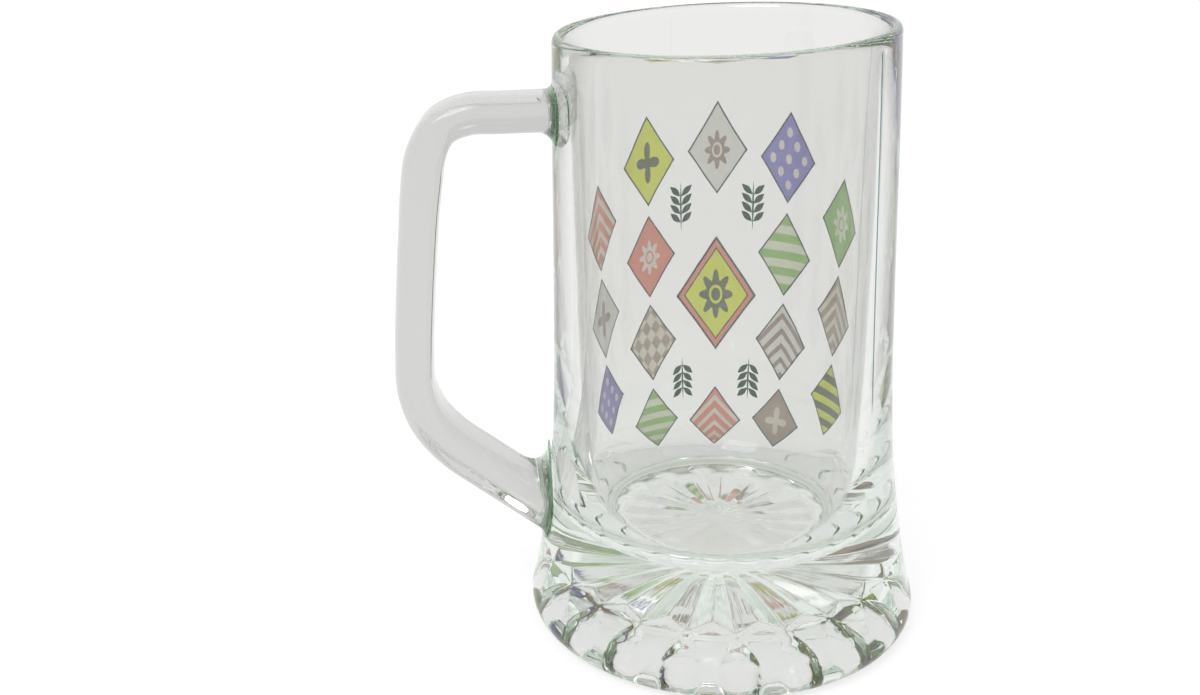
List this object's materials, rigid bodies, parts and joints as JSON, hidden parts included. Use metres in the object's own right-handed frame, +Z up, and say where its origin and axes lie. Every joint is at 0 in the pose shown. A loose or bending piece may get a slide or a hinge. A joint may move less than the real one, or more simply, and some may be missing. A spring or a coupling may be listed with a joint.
{
  "type": "glass mug",
  "caption": "Tall pressed glass mug with a flared heavy foot, a star moulded in the hollow underside, a squared side handle and small coloured enamel lozenges on one side.",
  "frame": {"origin": "on the table, under the middle of the whole mug with its handle; the axis of the body stands 16.2 mm from it towards +X", "axes": "+Z up, -X towards the handle, +Y towards the enamelled side"},
  "size_m": [0.1302, 0.0982, 0.15],
  "materials": {
    "clear_glass": "fire-polished, faintly green where thick",
    "enamel_red": "satin",
    "enamel_white": "satin",
    "enamel_blue": "satin",
    "enamel_yellow": "satin",
    "enamel_brown": "satin",
    "enamel_green": "satin"
  },
  "bodies": {
    "root": {"glass_body": "clear_glass", "handle": "clear_glass", "enamel_centre_tile": "enamel_yellow", "enamel_tile_1_1": "enamel_red", "enamel_tile_1_2": "enamel_white", "enamel_tile_1_3": "enamel_blue", "enamel_tile_2_1": "enamel_yellow", "enamel_tile_2_2": "enamel_red", "enamel_tile_2_3": "enamel_brown", "enamel_tile_2_4": "enamel_green", "enamel_tile_3_1": "enamel_white", "enamel_tile_3_3": "enamel_red", "enamel_tile_4_1": "enamel_blue", "enamel_tile_4_2": "enamel_green", "enamel_tile_4_3": "enamel_white", "enamel_tile_4_4": "enamel_brown", "enamel_tile_5_1": "enamel_green", "enamel_tile_5_2": "enamel_brown", "enamel_tile_5_3": "enamel_yellow"}
  },
  "joints": []
}
